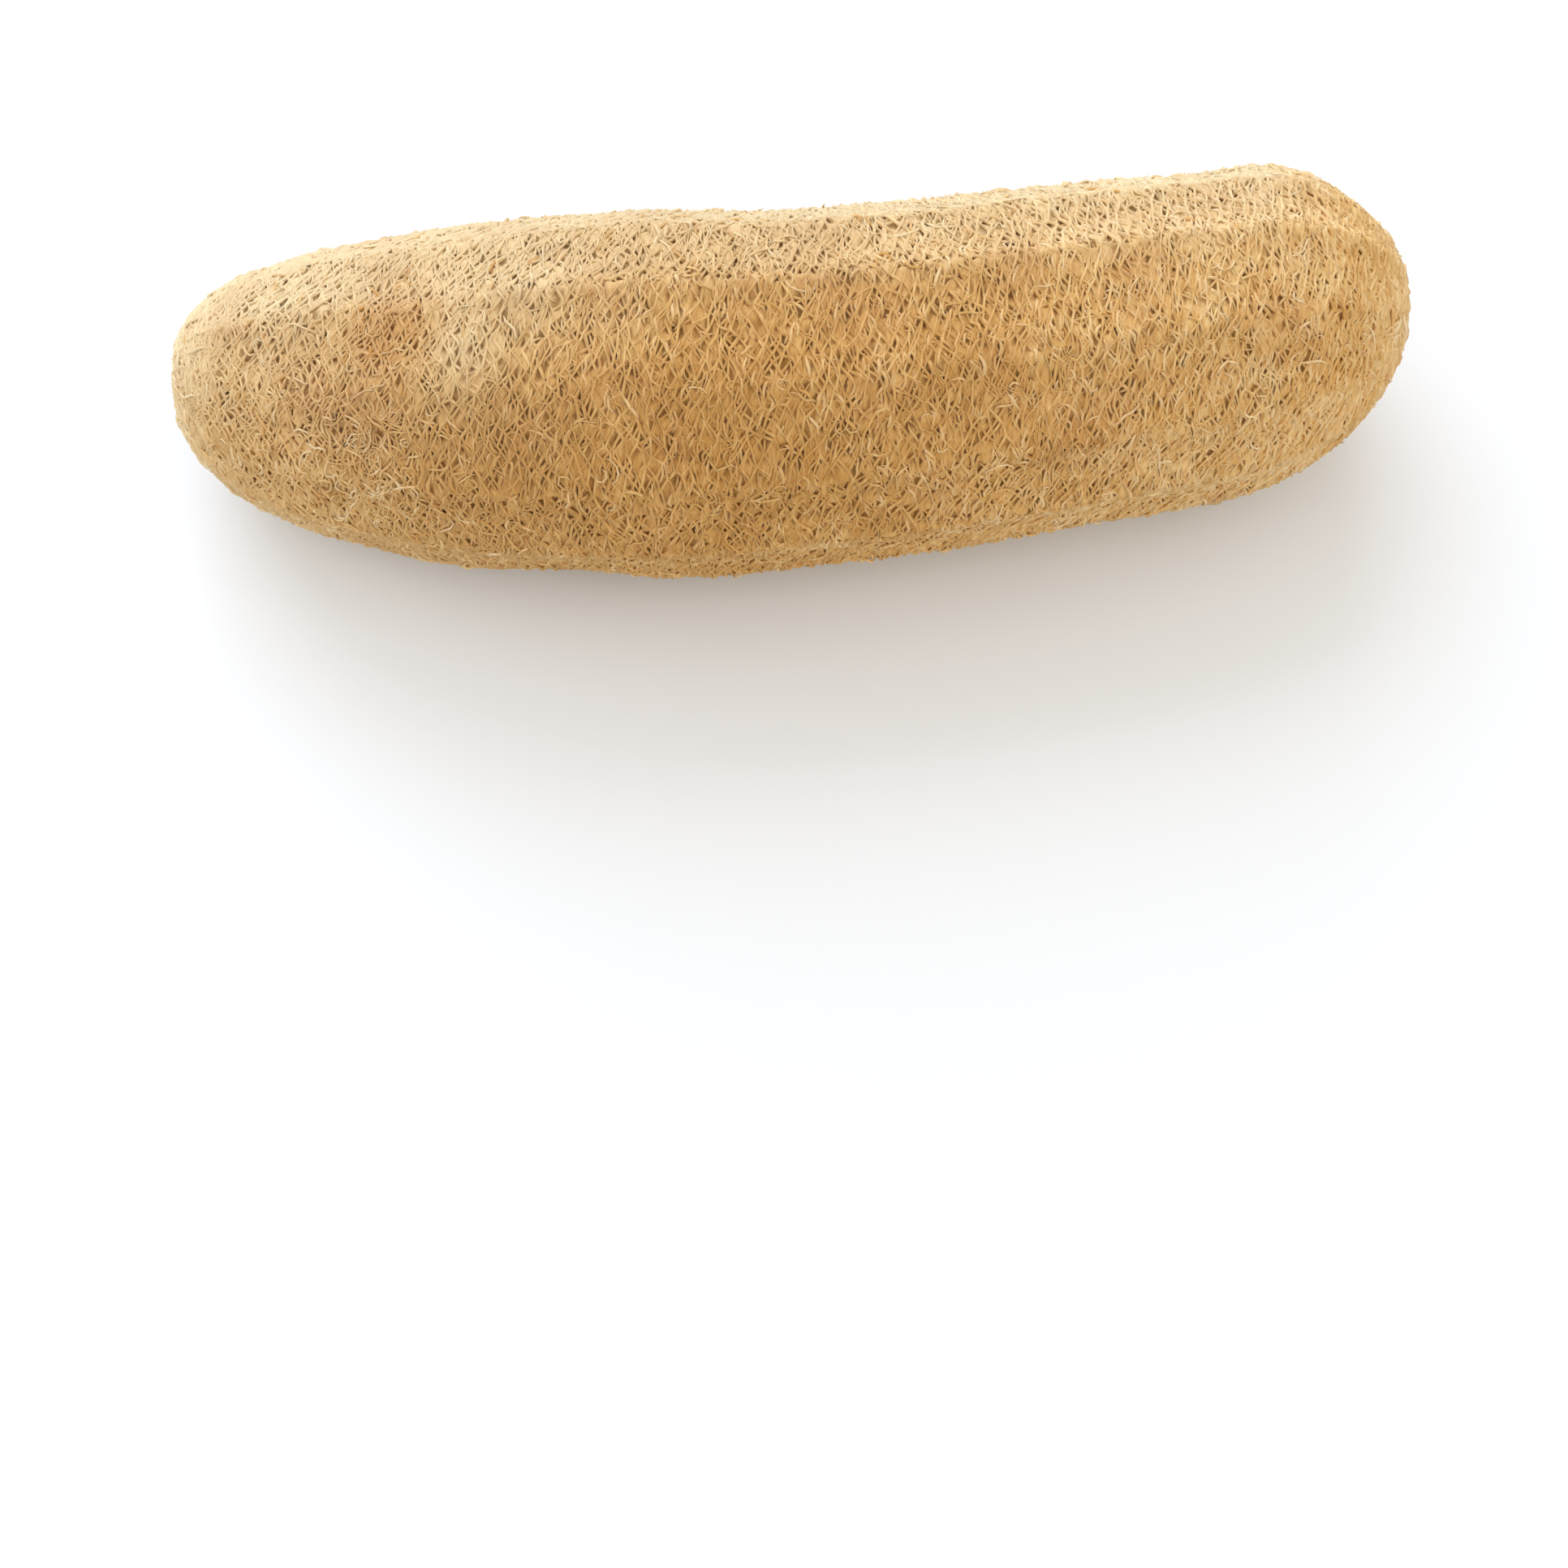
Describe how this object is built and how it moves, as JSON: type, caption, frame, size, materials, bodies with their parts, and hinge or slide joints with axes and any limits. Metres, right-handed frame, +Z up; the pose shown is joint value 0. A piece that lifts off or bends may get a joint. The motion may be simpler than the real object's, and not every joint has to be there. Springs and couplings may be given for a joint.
{
  "type": "natural loofah sponge",
  "caption": "Whole dried loofah: a long, slightly bent, closed body with low ribs along it and a net of raised fibres that runs round it, lying on its flattened underside.",
  "frame": {"origin": "on the table under the middle of the sponge's bounding box", "axes": "+X from the stem end to the blossom end, +Y to the side that the sponge bends towards, +Z up"},
  "size_m": [0.2942, 0.0998, 0.0832],
  "materials": {
    "loofah_fibre": "dull dried plant fibre, straw-coloured, with darker gaps between the fibres"
  },
  "bodies": {
    "root": {"loofah": "loofah_fibre"}
  },
  "joints": []
}
